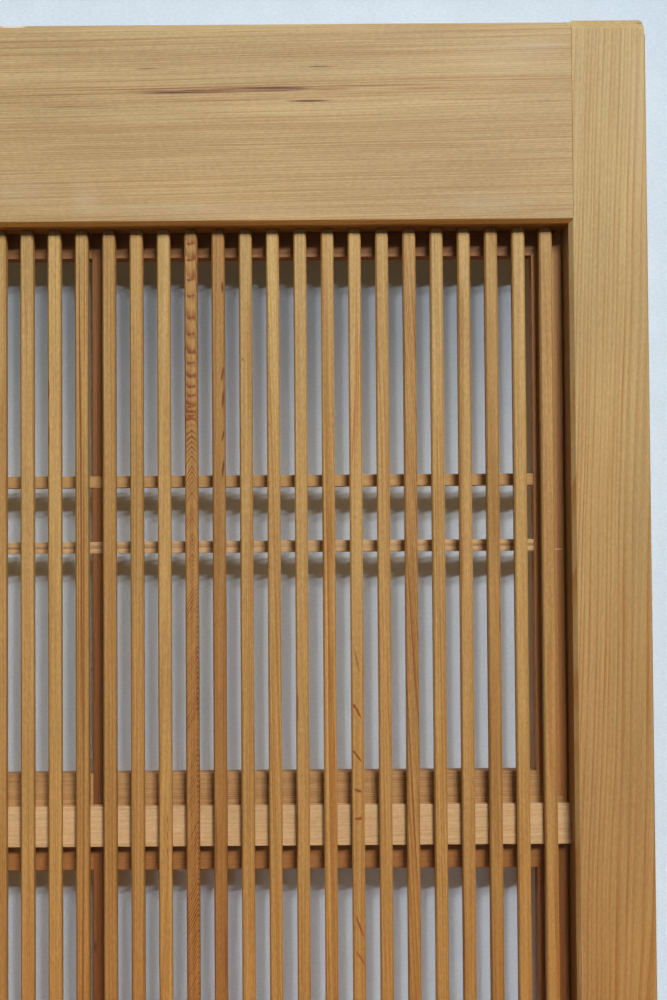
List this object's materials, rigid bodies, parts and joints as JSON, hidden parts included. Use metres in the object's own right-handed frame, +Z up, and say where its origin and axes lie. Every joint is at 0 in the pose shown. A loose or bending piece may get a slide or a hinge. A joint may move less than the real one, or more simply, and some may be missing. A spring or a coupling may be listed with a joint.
{
  "type": "sliding lattice screen",
  "caption": "Upright sliding screen of fine vertical wooden slats in a deep-railed frame, with lift-out inner frames resting behind the slats.",
  "frame": {"origin": "middle of the foot: the middle of the width and thickness, at the underside of the stiles", "axes": "+Z up, +X to the right seen from the front, the slatted front faces -Y"},
  "size_m": [0.606, 0.036, 1.212],
  "materials": {
    "frame_wood": "bare planed, aged",
    "slat_wood": "bare planed, aged",
    "inner_wood": "bare planed, darkened"
  },
  "bodies": {
    "root": {"left_stile": "frame_wood", "right_stile": "frame_wood", "top_rail": "frame_wood", "mid_rail": "frame_wood", "bottom_rail": "frame_wood", "slat_01": "slat_wood", "slat_02": "slat_wood", "slat_03": "slat_wood", "slat_04": "slat_wood", "slat_05": "slat_wood", "slat_06": "slat_wood", "slat_07": "slat_wood", "slat_08": "slat_wood", "slat_09": "slat_wood", "slat_10": "slat_wood", "slat_11": "slat_wood", "slat_12": "slat_wood", "slat_13": "slat_wood", "slat_14": "slat_wood", "slat_15": "slat_wood", "slat_16": "slat_wood", "slat_17": "slat_wood", "slat_18": "slat_wood", "slat_19": "slat_wood", "slat_20": "slat_wood", "slat_21": "slat_wood", "slat_22": "slat_wood", "slat_23": "slat_wood", "slat_24": "slat_wood", "slat_25": "slat_wood", "slat_26": "slat_wood", "slat_27": "slat_wood", "slat_28": "slat_wood", "slat_29": "slat_wood", "slat_30": "slat_wood", "slat_31": "slat_wood", "slat_32": "slat_wood", "slat_33": "slat_wood", "slat_34": "slat_wood", "upper_frame_left_upright": "inner_wood", "upper_frame_right_upright": "inner_wood", "upper_frame_top_member": "inner_wood", "upper_frame_bottom_member": "inner_wood", "upper_frame_upright_bar": "inner_wood", "upper_frame_bar_1": "inner_wood", "upper_frame_bar_2": "inner_wood", "lower_frame_left_upright": "inner_wood", "lower_frame_right_upright": "inner_wood", "lower_frame_top_member": "inner_wood", "lower_frame_bottom_member": "inner_wood", "lower_frame_upright_bar": "inner_wood", "lower_frame_bar_1": "inner_wood", "lower_frame_bar_2": "inner_wood", "lower_frame_bar_3": "inner_wood", "lower_frame_bar_4": "inner_wood"}
  },
  "joints": []
}
